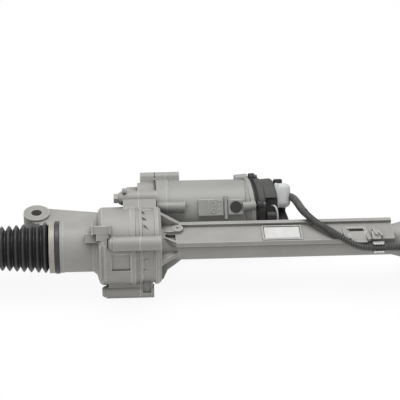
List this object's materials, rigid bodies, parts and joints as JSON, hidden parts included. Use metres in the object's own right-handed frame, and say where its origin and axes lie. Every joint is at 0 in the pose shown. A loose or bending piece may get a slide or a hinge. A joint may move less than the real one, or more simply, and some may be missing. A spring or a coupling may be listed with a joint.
{
  "type": "electric power steering gear",
  "caption": "Rack-and-pinion steering gear with a belt and ball-nut electric drive beside the rack, two bellows, tie rods and mounting ears.",
  "frame": {"origin": "middle of the left mounting ear's bore", "axes": "+X along the rack to the right, +Z along the bores of the mounting ears and up, +Y from the rack towards the motor"},
  "size_m": [1.339, 0.1982, 0.1734],
  "materials": {
    "cast_aluminium": "as-cast, shot-blasted grey aluminium, machined at joint faces and bores",
    "motor_aluminium": "smooth die-cast aluminium with machined pads",
    "steel": "ground or turned bare steel",
    "bearing_steel": "polished bearing steel",
    "bolt_steel": "zinc plated steel, slightly dulled",
    "clamp_steel": "bright stainless strip",
    "rubber": "matt black moulded rubber",
    "conduit_plastic": "matt black ribbed conduit",
    "plastic_black": "fine-grained moulded plastic",
    "cover_plastic": "dark grey coated cover, satin",
    "cap_plastic": "white moulded plastic, slightly translucent look",
    "nylon": "natural bearing plastic",
    "copper": "enamelled copper windings on a laminated core",
    "laminations": "laminated steel core with coated magnets",
    "board": "green circuit board",
    "label": "blank pale label film"
  },
  "bodies": {
    "root": {"rack_housing": "cast_aluminium", "gear_housing": "cast_aluminium", "housing_bolts": "bolt_steel", "rack_bush": "nylon", "nut_bearing_ring": "bearing_steel", "bearing_lock_ring": "steel", "drive_belt": "rubber", "stator": "copper", "motor_front_bearing": "bearing_steel", "motor_rear_bearing": "bearing_steel", "motor_front_cover": "motor_aluminium", "motor_housing": "motor_aluminium", "motor_bolts": "bolt_steel", "ecu_gasket": "rubber", "ecu_board": "board", "ecu_cover": "cover_plastic", "ecu_screws": "bolt_steel", "ecu_connector": "plastic_black", "connector_cap": "cap_plastic", "vent_plug": "plastic_black", "label_plate": "label", "harness_conduit": "conduit_plastic", "conduit_clip": "cap_plastic", "pinion_needle_bearing": "bearing_steel", "pinion_ball_bearing": "bearing_steel", "pinion_bearing_nut": "steel", "pinion_end_cap": "steel", "sensor_cover": "plastic_black", "sensor_screws": "bolt_steel", "sensor_connector": "plastic_black", "input_dust_cap": "rubber", "yoke": "motor_aluminium", "yoke_spring": "steel", "yoke_plug": "steel", "large_clamps": "clamp_steel", "bellows_left": "rubber", "bellows_right": "rubber"},
    "rack": {"rack_bar": "steel", "ball_socket_left": "steel", "ball_socket_right": "steel"},
    "nut": {"ball_nut": "steel", "nut_balls": "bearing_steel", "ball_return_tube": "plastic_black", "nut_bearing_balls": "bearing_steel", "large_pulley": "steel"},
    "rotor": {"rotor_shaft": "steel", "rotor_magnets": "laminations", "small_pulley": "steel"},
    "pinion": {"pinion_shaft": "steel", "input_shaft": "steel", "torsion_bar": "steel", "torque_sensor_magnet": "plastic_black"},
    "liner_left": {"socket_liner_left": "nylon"},
    "liner_right": {"socket_liner_right": "nylon"},
    "rod_left": {"tie_rod_left": "steel", "lock_nut_left": "bolt_steel", "small_clamp_left": "clamp_steel"},
    "rod_right": {"tie_rod_right": "steel", "lock_nut_right": "bolt_steel", "small_clamp_right": "clamp_steel"}
  },
  "joints": [
    {"name": "rotor_spin", "type": "hinge", "parent": "root", "child": "rotor", "pos_m": [0.22, 0.013, 0], "axis": [1, 0, 0], "range_deg": [-8060, 8060]},
    {"name": "nut_spin", "type": "hinge", "parent": "root", "child": "nut", "pos_m": [0.122, -0.062, 0], "axis": [1, 0, 0], "range_deg": [-3606, 3606]},
    {"name": "rack_slide", "type": "slide", "parent": "root", "child": "rack", "axis": [1, 0, 0], "range_m": [-0.07, 0.07], "deforming": ["bellows_left", "bellows_right"]},
    {"name": "pinion_spin", "type": "hinge", "parent": "root", "child": "pinion", "pos_m": [0.532, -0.0793, 0], "axis": [0.2079, 0, 0.9781], "range_deg": [-491, 491]},
    {"name": "left_joint_swing", "type": "hinge", "parent": "rack", "child": "liner_left", "pos_m": [-0.0615, -0.062, 0], "axis": [0, 0, 1], "range_deg": [-16, 16]},
    {"name": "left_joint_lift", "type": "hinge", "parent": "liner_left", "child": "rod_left", "pos_m": [-0.0615, -0.062, 0], "axis": [0, 1, 0], "range_deg": [-16, 16]},
    {"name": "right_joint_swing", "type": "hinge", "parent": "rack", "child": "liner_right", "pos_m": [0.6775, -0.062, 0], "axis": [0, 0, 1], "range_deg": [-16, 16]},
    {"name": "right_joint_lift", "type": "hinge", "parent": "liner_right", "child": "rod_right", "pos_m": [0.6775, -0.062, 0], "axis": [0, 1, 0], "range_deg": [-16, 16]}
  ],
  "couplings": [
    {"joint": "rotor_spin", "follows": "rack_slide", "rad_per_m": -2006.4},
    {"joint": "nut_spin", "follows": "rack_slide", "rad_per_m": -897.6},
    {"joint": "pinion_spin", "follows": "rack_slide", "rad_per_m": -122.27}
  ]
}
